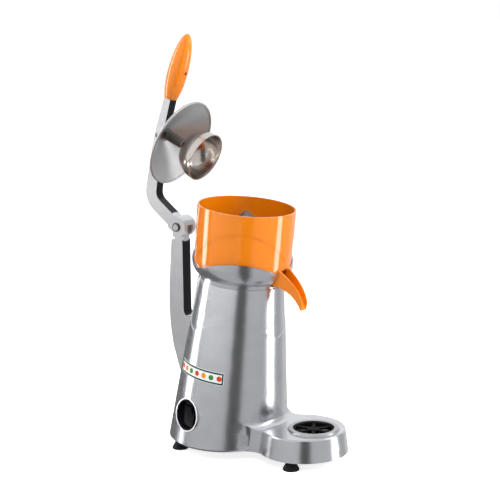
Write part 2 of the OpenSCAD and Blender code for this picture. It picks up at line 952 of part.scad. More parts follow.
module reamer() {
    rib_top = (reamer_rib_start - 0.5) / reamer_steps;
    color("silver") head() difference() {
        union() {
            rotate_extrude() polygon(concat(
                [for (k = [0 : reamer_steps]) dome(k / reamer_steps)],
                [[reamer_skirt_r, reamer_skirt_t - reamer_base], [reamer_skirt_r, -reamer_base]],
                [[0, -reamer_base]]
            ));
            for (n = [0 : reamer_ribs - 1]) rotate([90, 0, 360 / reamer_ribs * n])
                linear_extrude(reamer_rib_t, center = true) polygon(concat(
                    [[0, dome(rib_top)[1]], rib_point(rib_top)],
                    [for (k = [reamer_rib_start : reamer_steps]) rib_point(k / reamer_steps)],
                    [[reamer_r + reamer_rib_out, reamer_skirt_t / 2 - reamer_base]],
                    [[0, reamer_skirt_t / 2 - reamer_base]]
                ));
        }
        rotate_extrude() polygon(concat(
            [[reamer_boss_r, -reamer_base - eps], [reamer_boss_r, -reamer_hollow[0][1]]],
            [for (p = reamer_hollow) [p[0], -p[1]]],
            [[reamer_hollow[2][0], -reamer_base - eps]]
        ));
        rod(shaft_r, shaft_top, reamer_base + eps);
    }
}

module drive_shaft() {
    color("gray") head() rod(shaft_r, shaft_top, shaft_end);
}

module shaft_seal() {
    color([0.1, 0.1, 0.1]) head() ring(seal_r, shaft_r + run, seal_top, seal_top + seal_l);
}

module bearing(a) {
    color("silver") head() difference() {
        ring(bearing_r, shaft_r + run, a, a + bearing_l);
        ring(bearing_r - race_w, shaft_r + race_w, a - eps, a + race_step);
        ring(bearing_r - race_w, shaft_r + race_w, a + bearing_l - race_step, a + bearing_l + eps);
    }
}

module upper_bearing() {
    bearing(motor_top - hub_out + hub_lip);
}

module lower_bearing() {
    bearing(motor_end + hub_out - hub_lip - bearing_l);
}

// End bracket of the motor; inward is 1 for the upper one and -1 for the lower one
module bracket(face, inward) {
    module slab(r, a0, a1) {
        rod(r, face + min(inward * a0, inward * a1), face + max(inward * a0, inward * a1));
    }
    color("darkgray") head() difference() {
        union() {
            slab(plate_r, 0, plate_t);
            slab(bearing_hub_r, -hub_out, hub_end);
            slab(stator_r, plate_t, plate_t + end_l);
        }
        difference() {
            slab(stator_r - skirt_t, plate_t, plate_t + end_l + eps);
            slab(bearing_hub_r, plate_t - eps, hub_end);
        }
        slab(bearing_r, hub_lip - hub_out, hub_end + eps);
        slab(lip_r, -hub_out - eps, plate_t);
        at_bolts() slab(bolt_r + bolt_clear, -eps, plate_t + eps);
    }
}

module motor_upper_bracket() {
    bracket(motor_top, 1);
}

module motor_lower_bracket() {
    bracket(motor_end, -1);
}

module stator() {
    color("dimgray") head() ring(stator_r, bore_r, stator_top, stator_end);
}

module windings() {
    color("chocolate") head() {
        ring(coil_out_r, coil_in_r, stator_top - coil_l, stator_top);
        ring(coil_out_r, coil_in_r, stator_end, stator_end + coil_l);
    }
}

module rotor() {
    color("darkgray") head() ring(rotor_r, shaft_r, stator_top + rotor_inset, stator_end - rotor_inset);
}

module motor_bolts() {
    color("silver") head() at_bolts() {
        rod(bolt_r, motor_top - bolt_in, motor_end);
        rod(bolt_head_r, motor_end, motor_end + bolt_head_l);
    }
}

module capacitor() {
    color("whitesmoke") translate([cap_x, body_cy - cap_front, foot_h + base_t + cap_r]) rotate([-90, 0, 0]) {
        cylinder(r = cap_r, h = cap_l);
        translate([0, 0, cap_l]) cylinder(r = cap_post_r, h = cap_post_l);
    }
}

module capacitor_strap() {
    out = cap_r + strap_t;
    color("silver") translate([cap_x, body_cy - strap_w / 2, foot_h + base_t]) difference() {
        union() {
            translate([0, strap_w, cap_r]) rotate([90, 0, 0]) cylinder(r = out, h = strap_w);
            translate([-out, 0, 0]) cube([out * 2, strap_w, cap_r]);
            translate([-cap_r - strap_foot, 0, 0]) cube([(cap_r + strap_foot) * 2, strap_w, strap_t]);
        }
        translate([0, strap_w + eps, cap_r]) rotate([90, 0, 0]) cylinder(r = cap_r, h = strap_w + eps * 2);
        translate([-cap_r, -eps, -eps]) cube([cap_r * 2, strap_w + eps * 2, cap_r + eps]);
        translate([-far, -far, -far]) cube([far * 2, far * 2, far]);
    }
}

module terminal_block() {
    step = block_size[1] / block_wires;
    color("ivory") translate([-block_size[0] / 2, body_cy - block_front, foot_h + base_t]) difference() {
        cube(block_size);
        for (k = [0 : block_wires - 1]) translate([-eps, step * (k + 0.5), block_size[2] / 2])
            rotate([0, 90, 0]) cylinder(r = block_wire_r, h = block_size[0] + eps * 2);
    }
}

// Round cup in the wall with a rocker's frame on its floor
module switch_housing() {
    cup_out = switch_r - switch_fit;
    room_l = frame_l - frame_t * 2;
    room_w = frame_w - frame_t * 2;
    color([0.07, 0.07, 0.08]) on_cone(switch_az, switch_a) difference() {
        union() {
            difference() {
                peg(cup_out, switch_floor - switch_floor_t, 0);
                peg(cup_out - switch_cup_t, switch_floor, eps);
            }
            translate([-frame_l / 2, -frame_w / 2, frame_in]) cube([frame_l, frame_w, frame_top - frame_in]);
        }
        translate([-room_l / 2, -room_w / 2, rocker_axis_z - rocker_room]) cube([room_l, room_w, far]);
        translate([0, 0, rocker_axis_z]) rotate([90, 0, 0])
            cylinder(r = rocker_pin_r + run, h = frame_w + eps * 2, center = true);
    }
}

// Rocker: two faces that meet over its pin, pressed in at the top end when off
module rocker() {
    color([0.03, 0.03, 0.03]) on_cone(switch_az, switch_a) translate([0, 0, rocker_axis_z])
        rotate([0, rocker_swing / 2, 0]) rotate([90, 0, 0]) {
            linear_extrude(rocker_w, center = true) polygon(concat(
                [[-rocker_l / 2, rocker_edge], [-rocker_horn[0], rocker_horn[1]], [0, rocker_waist]],
                [rocker_horn, [rocker_l / 2, rocker_edge]],
                [for (k = [0 : rocker_hub_steps]) rocker_hub_r * turn(-180 * k / rocker_hub_steps)]
            ));
            cylinder(r = rocker_pin_r, h = frame_w - gap * 2, center = true);
        }
}

module cable_gland() {
    hex_top = gland_hex_t - gland_spot;
    color([0.12, 0.12, 0.13]) on_cone(gland_az, gland_a) difference() {
        union() {
            peg(gland_r - bolt_clear, -body_wall - gland_in, 0);
            translate([0, 0, -gland_spot]) cylinder(r = gland_hex_r, h = gland_hex_t, $fn = 6);
            translate([0, 0, hex_top]) cylinder(r1 = gland_cap[0], r2 = gland_cap[1], h = gland_cap_l);
        }
        peg(gland_hole_r, frame_in, -frame_in);
    }
}

module gland_nut() {
    color([0.12, 0.12, 0.13]) on_cone(gland_az, gland_a) difference() {
        translate([0, 0, -body_wall - nut_t]) cylinder(r = gland_hex_r, h = nut_t, $fn = 6);
        peg(gland_r - bolt_clear, frame_in, 0);
    }
}

module label_plate() {
    low = label_a + label_h;
    color("white") head() rotate([0, 0, 270 - label_az - label_span / 2]) rotate_extrude(angle = label_span)
        polygon([
            [cone_r(label_a) + run, -label_a],
            [cone_r(label_a) + label_t, -label_a],
            [cone_r(low) + label_t, -low],
            [cone_r(low) + run, -low]
        ]);
}

// Side view of the space that the tongue sweeps inside the fork
module fork_slot() {
    r = tongue_r + gap;
    sweep = 180 - stop_angle;
    polygon(concat(
        [[r, -far]],
        [for (k = [0 : slot_steps]) r * turn(sweep * k / slot_steps)],
        [r * turn(sweep) + far * turn(sweep + 90), [-far, -far]]
    ));
}

// Side view of the arm from the hinge lug to the handle
module arm_profile() {
    low = arm_low_l * turn(arm_low_angle + 180);
    difference() {
        polygon(concat(
            [arm_o0 + low],
            [for (a = bend_angles) bend + bend_out * turn(a)],
            [arm_o2, arm_o3, arm_o4, arm_i4, arm_i3, arm_i2],
            [for (k = [bend_steps : -1 : 0]) bend + bend_r * turn(bend_angles[k])],
            [arm_i0 + low]
        ));
        translate([lug_back - eps - far, -far]) square([far, far + bend[1]]);
    }
}

// Side view of the round hinge lug, cut off behind under the arm's heel
module lug_profile() {
    difference() {
        circle(r = lug_r);
        polygon([
            [lug_back, -lug_r * 2],
            [lug_back, arm_heel_z + heel_step],
            arm_o0 + [0, heel_step],
            [arm_o0[0], -lug_r * 2]
        ]);
    }
}

// Everything in front of the splash disc's back, which the arm leaves free
module disc_room() {
    rim = press_disc_d / 2 + gap;
    rotate_extrude() polygon([
        [0, hub_seat],
        [hub_r + gap, hub_seat],
        [rim, disc_rim_z - disc_t / 2 - disc_bead_r - gap],
        [rim, 0],
        [0, 0]
    ]);
}

module lever_arm() {
    color("lightgray") difference() {
        union() {
            hinge() side(arm_w) arm_profile();
            hinge() side(lug_w) lug_profile();
            press() peg(hub_r, boss_back, hub_seat);
        }
        hinge() side(tongue_w + gap * 2) fork_slot();
        hinge() cross_bar(pin_d / 2 + bush_t, lug_w * 2);
        press() peg(stem_r, hub_seat - stem_in, hub_seat + eps);
        press() disc_room();
        handle_frame() peg(stud_r, -stud_in, eps);
    }
}

module hinge_pin() {
    color("silver") hinge() cross_bar(pin_d / 2, lug_w + (gap + clip_t + pin_end) * 2);
}

module pin_clips() {
    color("gray") for (s = [-1, 1]) hinge() translate([s * (lug_w / 2 + gap + clip_t / 2), 0, 0])
        difference() {
            cross_bar(pin_d / 2 + clip_w, clip_t);
            cross_bar(pin_d / 2, clip_t * 3);
        }
}

module hinge_bushes() {
    bush_l = (lug_w - tongue_w) / 2 - gap;
    color("peru") for (s = [-1, 1]) hinge() translate([s * (lug_w - bush_l) / 2, 0, 0]) difference() {
        cross_bar(pin_d / 2 + bush_t, bush_l);
        cross_bar(pin_d / 2 + run, bush_l * 3);
    }
}

module handle_grip() {
    sweep = 90 + handle_foot_angle;
    color("darkorange") handle_frame() difference() {
        rotate_extrude() polygon(concat(
            [[0, 0]],
            [for (k = [0 : handle_steps]) handle_point(sweep * k / handle_steps - handle_foot_angle)]
        ));
        peg(stud_r, -eps, stud_out);
        translate([0, 0, handle_screw_z]) rotate([90, 0, 0]) cylinder(r = handle_screw_r, h = handle_d);
    }
}

module handle_stud() {
    color("gray") handle_frame() peg(stud_r, -stud_in, stud_out);
}

module handle_screw() {
    color([0.1, 0.1, 0.1]) handle_frame() translate([0, 0, handle_screw_z]) rotate([90, 0, 0]) difference() {
        cylinder(r = handle_screw_r, h = handle_d / 2 - handle_screw_sink);
        rotate([90, 0, 0]) cylinder(r = stud_r, h = handle_d, center = true);
    }
}

module press_disc() {
    rim = press_disc_d / 2 - disc_bead_r;
    color("gainsboro") press() difference() {
        rotate_extrude() {
            polygon([
                [0, hub_seat],
                [hub_r, hub_seat],
                [rim, disc_rim_z - disc_t],
                [rim, disc_rim_z],
                [hub_r - disc_t / 2, hub_seat + disc_hub_t],
                [0, hub_seat + disc_hub_t]
            ]);
            translate([rim, disc_rim_z - disc_t / 2]) circle(r = disc_bead_r);
        }
        peg(stem_r, hub_seat - eps, hub_seat + disc_hub_t + eps);
    }
}

module cup_stem() {
    seat = hub_seat + disc_hub_t;
    color("silver") press() difference() {
        union() {
            peg(stem_r, hub_seat - stem_in, cup_seat);
            peg(flange_r, seat, seat + flange_t);
        }
        peg(cup_screw_r, cup_seat - cup_screw_l - eps, cup_seat + eps);
    }
}

// Half outline of the press cup: a ball with a flared lip, drawn in by an inset
module cup_outline(inset, top) {
    intersection() {
        union() {
            translate([0, cup_ball_z]) circle(r = cup_ball_r - inset);
            polygon([[0, cup_ball_z], [cup_ball_r - inset, cup_ball_z], [cup_r - inset, top], [0, top]]);
        }
        translate([0, cup_seat]) square([cup_r, top - cup_seat]);
    }
}

module press_cup() {
    color("silver") press() difference() {
        union() {
            rotate_extrude() difference() {
                cup_outline(0, cup_lip);
                cup_outline(cup_t, cup_lip + eps);
            }
            peg(cup_boss_r, cup_seat, cup_inner_seat);
        }
        peg(cup_screw_r, cup_seat - eps, cup_inner_seat + eps);
    }
}

module cup_screw() {
    color("silver") press() {
        peg(cup_screw_r, cup_seat - cup_screw_l, cup_inner_seat);
        translate([0, 0, cup_inner_seat])
            cylinder(r1 = cup_screw_head[0], r2 = cup_screw_head[1], h = cup_screw_head_l);
    }
}

body_casing();
lever_post();
base_plate();
foot(0);  // foot_1
foot(1);  // foot_2
foot(2);  // foot_3
foot(3);  // foot_4
foot_screws();
post_screws();
drip_tray();
drip_grille();
bowl();
strainer();
reamer();
drive_shaft();
shaft_seal();
upper_bearing();
lower_bearing();
motor_upper_bracket();
motor_lower_bracket();
stator();
windings();
rotor();
motor_bolts();
capacitor();
capacitor_strap();
terminal_block();
switch_housing();
rocker();
cable_gland();
gland_nut();
label_plate();
lever_arm();
hinge_pin();
pin_clips();
hinge_bushes();
handle_grip();
handle_stud();
handle_screw();
press_disc();
cup_stem();
press_cup();
cup_screw();
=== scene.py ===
"""Looks of the electric citrus press: materials, modelled details, studio and camera, in metres.

-Y is the front with the spout, +Z is up, and the table is at Z = 0. The lever is raised at rest.
"""

import math

import bmesh
import bpy
from mathutils import Matrix, Vector


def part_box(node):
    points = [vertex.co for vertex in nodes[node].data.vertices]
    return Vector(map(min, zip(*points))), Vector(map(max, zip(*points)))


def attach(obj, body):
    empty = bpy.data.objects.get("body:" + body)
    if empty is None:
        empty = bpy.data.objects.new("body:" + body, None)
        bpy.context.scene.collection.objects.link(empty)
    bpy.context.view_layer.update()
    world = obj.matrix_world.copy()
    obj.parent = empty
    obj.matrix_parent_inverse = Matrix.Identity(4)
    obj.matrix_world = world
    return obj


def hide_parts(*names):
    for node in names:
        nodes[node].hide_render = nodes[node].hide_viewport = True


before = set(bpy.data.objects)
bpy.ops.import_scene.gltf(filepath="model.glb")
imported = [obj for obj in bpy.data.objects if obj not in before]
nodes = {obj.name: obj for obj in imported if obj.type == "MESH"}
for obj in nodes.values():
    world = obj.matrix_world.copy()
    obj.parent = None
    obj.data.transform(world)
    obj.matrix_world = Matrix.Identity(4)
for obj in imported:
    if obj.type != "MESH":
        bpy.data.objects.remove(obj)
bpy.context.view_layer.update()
scene = bpy.context.scene
MM = 0.001

# Photograph: frame size and focal length in pixels, and the camera's place and axes
PHOTO_SIZE = 500
PHOTO_FOCAL = 1303.63
SENSOR = 36.0
CAMERA_AT = Vector((-1.6148, -1.1023, 0.6782))
CAMERA_FORWARD = Vector((0.81517, 0.54909, -0.18435)).normalized()
CAMERA_UP = Vector((0.15915, 0.0937, 0.9828))
CAMERA_RIGHT = CAMERA_FORWARD.cross(CAMERA_UP).normalized()
CAMERA_REACH = 50

# Leaning axis of the body and bowl: the lean and the rim's centre, as the solids have them
TILT = math.radians(6.1)
RIM_CENTRE = Vector((0, -10.15, 380)) * MM
HEAD = Matrix.Translation(RIM_CENTRE) @ Matrix.Rotation(TILT, 4, "X")

# Handle: its lean, its egg shape, the hole for its cross screw and the fineness of its mesh
HANDLE_LEAN = math.radians(20)
HANDLE_R = 15.75 * MM
HANDLE_L = 105 * MM
HANDLE_FOOT_R = 10 * MM
HANDLE_WIDE = 42 * MM
STUD_MIDDLE = 16 * MM
SCREW_UP = 46 * MM
SCREW_HOLE_R = 2.75 * MM
SCREW_HOLE_DEPTH = 5 * MM
HANDLE_FOOT_IN = 0.9
HANDLE_FIRST_STEP = 0.4
HANDLE_STEPS = 72
HANDLE_SIDES = 64
HOLE_SIDES = 32

# Reamer: a pointed dome with ribs on a skirt with a rounded edge, measured down from the rim
REAMER_TIP = 5.5 * MM
REAMER_BRIM = 60 * MM
REAMER_BASE = 65 * MM
REAMER_R = 30.5 * MM
REAMER_SKIRT_R = 36 * MM
REAMER_SKIRT_T = 3 * MM
REAMER_POINT = 1.8
RIB_COUNT = 10
RIB_OUT = 2.2 * MM
RIB_START = 0.25
RIB_SHARPNESS = 3
SKIRT_EDGE_IN = 1.0 * MM
SKIRT_EDGE_UP = 0.3 * MM
SKIRT_EDGE_DOWN = 0.6 * MM
REAMER_STEPS = 44
REAMER_SIDES = 240

# Label on the cone: its middle, span and height, the cone's radius at its upper edge, and its print
LABEL_TURN = math.radians(170)
LABEL_SPAN = math.radians(66)
LABEL_TOP = 241.5 * MM
LABEL_H = 19 * MM
LABEL_R = 80.18 * MM
LABEL_T = 0.5 * MM
CONE_FLARE = math.radians(5.9)
PRINT_T = 0.12 * MM
FRAME_IN = 0.7 * MM
FRAME_W = 2.3 * MM
FRAME_STEPS = 40
DOT_R = 4.0 * MM
DOT_PITCH = 13 * MM
DOTS_EACH_SIDE = 3
DOT_SIDES = 32

# Painted dark reflection on the front faces of the arm and post: the hinge pin, how far from it the faces
# begin, the painted colour, and which way they look
HINGE_AT = Vector((0, 113.9, 339.2)) * MM
DARK_FROM = 24 * MM
DARK_EDGE = 1.0 * MM
PAINTED_DARK_REFLECTION = (0.022, 0.022, 0.025)
FRONT_FADE = (-0.45, -0.55)

# Sockets of a mix node that carry colours, and plain white
MIX_FIRST = 6
MIX_SECOND = 7
MIX_RESULT = 2
WHITE = (1, 1, 1, 1)

# Mottle and grain: how much of the noise is spread out, its scale and detail for each kind of finish
NOISE_LOW = 0.3
NOISE_HIGH = 0.7
GRAIN_DETAIL = 4.0
CLOUD_DETAIL = 3.0
SOFT_DETAIL = 2.0
METAL_CLOUD = 22.0
PLASTIC_CLOUD = 9.0
PLASTIC_WAVE = 60.0
INK_MOTTLE = 500.0
RUBBER_CLOUD = 60.0
RUBBER_GRAIN = 900.0
FLOOR_MOTTLE = 40.0
RINGED = (1, 1, 16)
WOUND = (1, 1, 30)
LAYERED = (1, 1, 40)
EVEN = (1, 1, 1)

# Depth and strength of the grain, and the plain numbers of each finish
HAIR = 0.012 * MM
FINE_HAIR = 0.004 * MM
RUBBER_DEPTH = 0.1 * MM
GRAIN_STRENGTH = 0.3
WAVE_STRENGTH = 0.15
PLASTIC_IOR = 1.5
COAT_ROUGH = 0.04
INK_ROUGH = (0.55, 0.65)
INK_SHINE = 0.15
RUBBER_ROUGH = (0.5, 0.72)
RUBBER_SHINE = 0.2


# Shader helpers


def new_material(name):
    """A material, its node tree, its Principled shader and a function that adds a node."""
    material = bpy.data.materials.new(name)
    material.use_nodes = True
    tree = material.node_tree

    def add(kind, **inputs):
        node = tree.nodes.new(kind)
        for key, value in inputs.items():
            node.inputs[key.replace("_", " ")].default_value = value
        return node

    return material, tree, tree.nodes["Principled BSDF"], add


def set_inputs(shader, **inputs):
    """Sets sockets by name, with underscores for spaces."""
    for key, value in inputs.items():
        shader.inputs[key.replace("_", " ")].default_value = value


def coords(tree, add, scale):
    """Object coordinates, stretched by a scale on each axis."""
    source = add("ShaderNodeTexCoord")
    mapping = add("ShaderNodeMapping", Scale=scale)
    tree.links.new(source.outputs["Object"], mapping.inputs["Vector"])
    return mapping.outputs["Vector"]


def noise(tree, add, vector, scale, detail):
    texture = add("ShaderNodeTexNoise", Scale=scale, Detail=detail)
    tree.links.new(vector, texture.inputs["Vector"])
    return texture.outputs["Fac"]


def spread(tree, add, value, low, high):
    """Maps the middle of a noise value to a range of numbers."""
    node = add("ShaderNodeMapRange", From_Min=NOISE_LOW, From_Max=NOISE_HIGH, To_Min=low, To_Max=high)
    tree.links.new(value, node.inputs["Value"])
    return node.outputs["Result"]


def tint(tree, add, value, dark, light):
    """Maps the middle of a noise value to a colour between two colours."""
    ramp = add("ShaderNodeValToRGB")
    ramp.color_ramp.elements[0].color = (*dark, 1)
    ramp.color_ramp.elements[1].color = (*light, 1)
    ramp.color_ramp.elements[0].position = NOISE_LOW
    ramp.color_ramp.elements[1].position = NOISE_HIGH
    tree.links.new(value, ramp.inputs["Fac"])
    return ramp.outputs["Color"]


def bump(tree, add, shader, height, strength, distance):
    node = add("ShaderNodeBump", Strength=strength, Distance=distance)
    tree.links.new(height, node.inputs["Height"])
    tree.links.new(node.outputs["Normal"], shader.inputs["Normal"])


# Materials


def metal(name, dark, light, rough, grain, grain_scale, depth):
    """Brushed metal: fine grain along one direction, with cloudy changes of tone."""
    material, tree, shader, add = new_material(name)
    set_inputs(shader, Metallic=1.0)
    fine = noise(tree, add, coords(tree, add, grain), grain_scale, GRAIN_DETAIL)
    cloud = noise(tree, add, coords(tree, add, EVEN), METAL_CLOUD, CLOUD_DETAIL)
    tree.links.new(tint(tree, add, cloud, dark, light), shader.inputs["Base Color"])
    tree.links.new(spread(tree, add, fine, *rough), shader.inputs["Roughness"])
    bump(tree, add, shader, fine, GRAIN_STRENGTH, depth)
    return material


def plastic(name, dark, light, rough, shine, coat, depth):
    """Moulded plastic: slight cloudiness in the colour and a faint waviness of the skin."""
    material, tree, shader, add = new_material(name)
    vector = coords(tree, add, EVEN)
    cloud = noise(tree, add, vector, PLASTIC_CLOUD, SOFT_DETAIL)
    wave = noise(tree, add, vector, PLASTIC_WAVE, SOFT_DETAIL)
    tree.links.new(tint(tree, add, cloud, dark, light), shader.inputs["Base Color"])
    tree.links.new(spread(tree, add, wave, *rough), shader.inputs["Roughness"])
    set_inputs(shader, IOR=PLASTIC_IOR, Specular_IOR_Level=shine)
    set_inputs(shader, Coat_Weight=coat, Coat_Roughness=COAT_ROUGH)
    bump(tree, add, shader, wave, WAVE_STRENGTH, depth)
    return material


def ink(name, dark, light):
    """Matt printed film."""
    material, tree, shader, add = new_material(name)
    mottle = noise(tree, add, coords(tree, add, EVEN), INK_MOTTLE, CLOUD_DETAIL)
    tree.links.new(tint(tree, add, mottle, dark, light), shader.inputs["Base Color"])
    tree.links.new(spread(tree, add, mottle, *INK_ROUGH), shader.inputs["Roughness"])
    set_inputs(shader, Specular_IOR_Level=INK_SHINE)
    return material


def rubber(name, dark, light):
    """Matt rubber with a fine grain."""
    material, tree, shader, add = new_material(name)
    vector = coords(tree, add, EVEN)
    grain = noise(tree, add, vector, RUBBER_GRAIN, GRAIN_DETAIL)
    cloud = noise(tree, add, vector, RUBBER_CLOUD, SOFT_DETAIL)
    tree.links.new(tint(tree, add, cloud, dark, light), shader.inputs["Base Color"])
    tree.links.new(spread(tree, add, grain, *RUBBER_ROUGH), shader.inputs["Roughness"])
    set_inputs(shader, Specular_IOR_Level=RUBBER_SHINE)
    bump(tree, add, shader, grain, GRAIN_STRENGTH, RUBBER_DEPTH)
    return material


def paint_front_reflection(material):
    """Painted dark reflection on the faces that look to the front, clear of the hinge."""
    tree = material.node_tree
    shader = tree.nodes["Principled BSDF"]
    source = tree.nodes.new("ShaderNodeTexCoord")
    facing = tree.nodes.new("ShaderNodeSeparateXYZ")
    tree.links.new(source.outputs["Normal"], facing.inputs["Vector"])
    front = tree.nodes.new("ShaderNodeMapRange")
    tree.links.new(facing.outputs["Y"], front.inputs["Value"])
    set_inputs(front, From_Min=FRONT_FADE[0], From_Max=FRONT_FADE[1])
    reach = tree.nodes.new("ShaderNodeVectorMath")
    reach.operation = "DISTANCE"
    reach.inputs[1].default_value = HINGE_AT
    tree.links.new(source.outputs["Object"], reach.inputs[0])
    clear = tree.nodes.new("ShaderNodeMapRange")
    tree.links.new(reach.outputs["Value"], clear.inputs["Value"])
    set_inputs(clear, From_Min=DARK_FROM, From_Max=DARK_FROM + DARK_EDGE)
    both = tree.nodes.new("ShaderNodeMath")
    both.operation = "MULTIPLY"
    tree.links.new(front.outputs["Result"], both.inputs[0])
    tree.links.new(clear.outputs["Result"], both.inputs[1])
    mix = tree.nodes.new("ShaderNodeMix")
    mix.data_type = "RGBA"
    plain = shader.inputs["Base Color"].links[0].from_socket
    tree.links.new(both.outputs[0], mix.inputs[0])
    tree.links.new(plain, mix.inputs[MIX_FIRST])
    # Colour of the painted dark reflection, mixed in over the front faces
    mix.inputs[MIX_SECOND].default_value = (*PAINTED_DARK_REFLECTION, 1)
    tree.links.new(mix.outputs[MIX_RESULT], shader.inputs["Base Color"])


# Metals: darker and lighter tone, range of roughness, then the stretch, scale and depth of the grain
CAST = metal(
    "cast_aluminium", (0.59, 0.60, 0.635), (0.67, 0.675, 0.705), (0.19, 0.27), RINGED, 260, HAIR
)
LEVER_CAST = metal(
    "lever_aluminium", (0.65, 0.655, 0.67), (0.73, 0.73, 0.74), (0.22, 0.28), EVEN, 1400, FINE_HAIR
)
POLISHED = metal(
    "polished_steel", (0.58, 0.575, 0.57), (0.66, 0.655, 0.65), (0.09, 0.15), EVEN, 700, HAIR
)
SPUN = metal(
    "spun_steel", (0.53, 0.535, 0.545), (0.62, 0.625, 0.635), (0.38, 0.48), EVEN, 1500, FINE_HAIR
)
SATIN = metal("satin_steel", (0.60, 0.55, 0.51), (0.68, 0.63, 0.59), (0.17, 0.23), EVEN, 1500, FINE_HAIR)
STEM_STEEL = metal(
    "stem_steel", (0.20, 0.19, 0.18), (0.28, 0.27, 0.26), (0.12, 0.18), EVEN, 1500, FINE_HAIR
)
TRAY_CAST = metal(
    "tray_aluminium", (0.42, 0.425, 0.44), (0.50, 0.505, 0.52), (0.30, 0.40), EVEN, 900, FINE_HAIR
)
REAMED = metal("reamer_steel", (0.10, 0.09, 0.08), (0.24, 0.22, 0.20), (0.35, 0.5), EVEN, 900, HAIR)
FASTENER = metal("fastener_steel", (0.42, 0.42, 0.43), (0.55, 0.55, 0.56), (0.22, 0.34), EVEN, 900, HAIR)
DARK_STEEL = metal("dark_steel", (0.10, 0.10, 0.10), (0.17, 0.165, 0.16), (0.25, 0.35), EVEN, 900, HAIR)
IRON = metal("motor_iron", (0.10, 0.10, 0.11), (0.17, 0.17, 0.18), (0.4, 0.55), LAYERED, 600, HAIR)
COPPER = metal("copper_wire", (0.45, 0.19, 0.08), (0.60, 0.28, 0.12), (0.25, 0.4), WOUND, 900, HAIR)
BRONZE = metal("bronze", (0.50, 0.32, 0.13), (0.60, 0.40, 0.18), (0.25, 0.38), EVEN, 600, HAIR)

# Plastics: darker and lighter tone, range of roughness, shine, clear coat and depth of the waviness
ORANGE = plastic(
    "orange_plastic", (0.79, 0.205, 0.003), (0.84, 0.228, 0.004), (0.08, 0.12), 0.62, 0.2, 0.02 * MM
)
BLACK = plastic(
    "black_plastic", (0.004, 0.004, 0.005), (0.008, 0.008, 0.010), (0.35, 0.48), 0.14, 0.0, 0.05 * MM
)
GRILLE = plastic(
    "grille_plastic", (0.002, 0.002, 0.002), (0.004, 0.004, 0.004), (0.5, 0.65), 0.08, 0.0, 0.05 * MM
)
PALE = plastic(
    "white_plastic", (0.70, 0.69, 0.66), (0.78, 0.77, 0.74), (0.35, 0.45), 0.5, 0.0, 0.03 * MM
)

# Print and rubber: darker and lighter tone
PRINT_WHITE = ink("print_white", (0.76, 0.77, 0.77), (0.80, 0.81, 0.81))
PRINT_GREEN = ink("print_green", (0.003, 0.035, 0.033), (0.005, 0.05, 0.045))
PRINT_RED = ink("print_red", (0.58, 0.045, 0.01), (0.64, 0.06, 0.014))
PRINT_AMBER = ink("print_amber", (0.70, 0.26, 0.008), (0.76, 0.30, 0.012))
PRINT_LEAF = ink("print_leaf", (0.03, 0.20, 0.04), (0.045, 0.25, 0.05))
RUBBER = rubber("black_rubber", (0.004, 0.004, 0.0045), (0.009, 0.009, 0.010))
# Painted dark reflection on the front faces of the lever's arm and post
paint_front_reflection(LEVER_CAST)

# Solids that each material goes on
NODE_MATERIALS = {
    CAST: ["body_casing", "motor_upper_bracket", "motor_lower_bracket"],
    TRAY_CAST: ["drip_tray"],
    LEVER_CAST: ["lever_post", "lever_arm"],
    POLISHED: ["strainer", "drive_shaft", "hinge_pin"],
    SPUN: ["press_disc"],
    SATIN: ["press_cup"],
    STEM_STEEL: ["cup_stem"],
    REAMED: ["reamer"],
    FASTENER: [
        "base_plate", "foot_screws", "post_screws", "upper_bearing", "lower_bearing", "motor_bolts",
        "capacitor_strap", "handle_stud"
    ],
    DARK_STEEL: ["pin_clips", "handle_screw", "cup_screw"],
    ORANGE: ["bowl", "handle_grip"],
    BLACK: ["switch_housing", "rocker", "cable_gland", "gland_nut"],
    GRILLE: ["drip_grille"],
    PALE: ["capacitor", "terminal_block"],
    PRINT_WHITE: ["label_plate"],
    RUBBER: ["foot_1", "foot_2", "foot_3", "foot_4", "shaft_seal"],
    IRON: ["stator", "rotor"],
    COPPER: ["windings"],
    BRONZE: ["hinge_bushes"],
}

# Rounding of the solids' crisp edges, in millimetres
EDGE_ROUNDING = {
    "body_casing": 0.5, "lever_post": 3.6, "lever_arm": 3.2, "drip_tray": 0.5, "bowl": 0.7,
    "press_cup": 0.3, "press_disc": 0.2, "cup_stem": 0.4, "drip_grille": 0.5, "switch_housing": 0.3,
    "rocker": 0.6, "hinge_pin": 0.4, "foot_1": 0.3, "foot_2": 0.3, "foot_3": 0.3, "foot_4": 0.3,
    "cable_gland": 0.4, "label_plate": 0.05,
}
CREASE = math.radians(28)
WELD_REACH = 0.001 * MM
BEVEL_SEGMENTS = 3


def soften(node, width):
    """Joins the faces of a solid, rounds its crisp edges and shades the rest smoothly."""
    weld = node.modifiers.new("weld", "WELD")
    weld.merge_threshold = WELD_REACH
    bevel = node.modifiers.new("bevel", "BEVEL")
    bevel.width = width * MM
    bevel.segments = BEVEL_SEGMENTS
    bevel.limit_method = "ANGLE"
    bevel.angle_limit = CREASE
    bevel.use_clamp_overlap = True
    shade = node.modifiers.new("shade", "WEIGHTED_NORMAL")
    shade.keep_sharp = False


def dress(node, material):
    """Gives a solid its material and lets the shading follow the welded mesh."""
    mesh = node.data
    mesh.materials.clear()
    mesh.materials.append(material)
    own_normals = mesh.attributes.get("custom_normal")
    if own_normals:
        mesh.attributes.remove(own_normals)
    mesh.shade_smooth()


for material, names in NODE_MATERIALS.items():
    for name in names:
        dress(nodes[name], material)
for name, width in EDGE_ROUNDING.items():
    soften(nodes[name], width)


# Modelled pieces


def add_piece(name, mesh, material, body):
    """A new piece with its material, riding on a body."""
    mesh.materials.append(material)
    mesh.shade_smooth()
    piece = bpy.data.objects.new(name, mesh)
    scene.collection.objects.link(piece)
    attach(piece, body)
    return piece


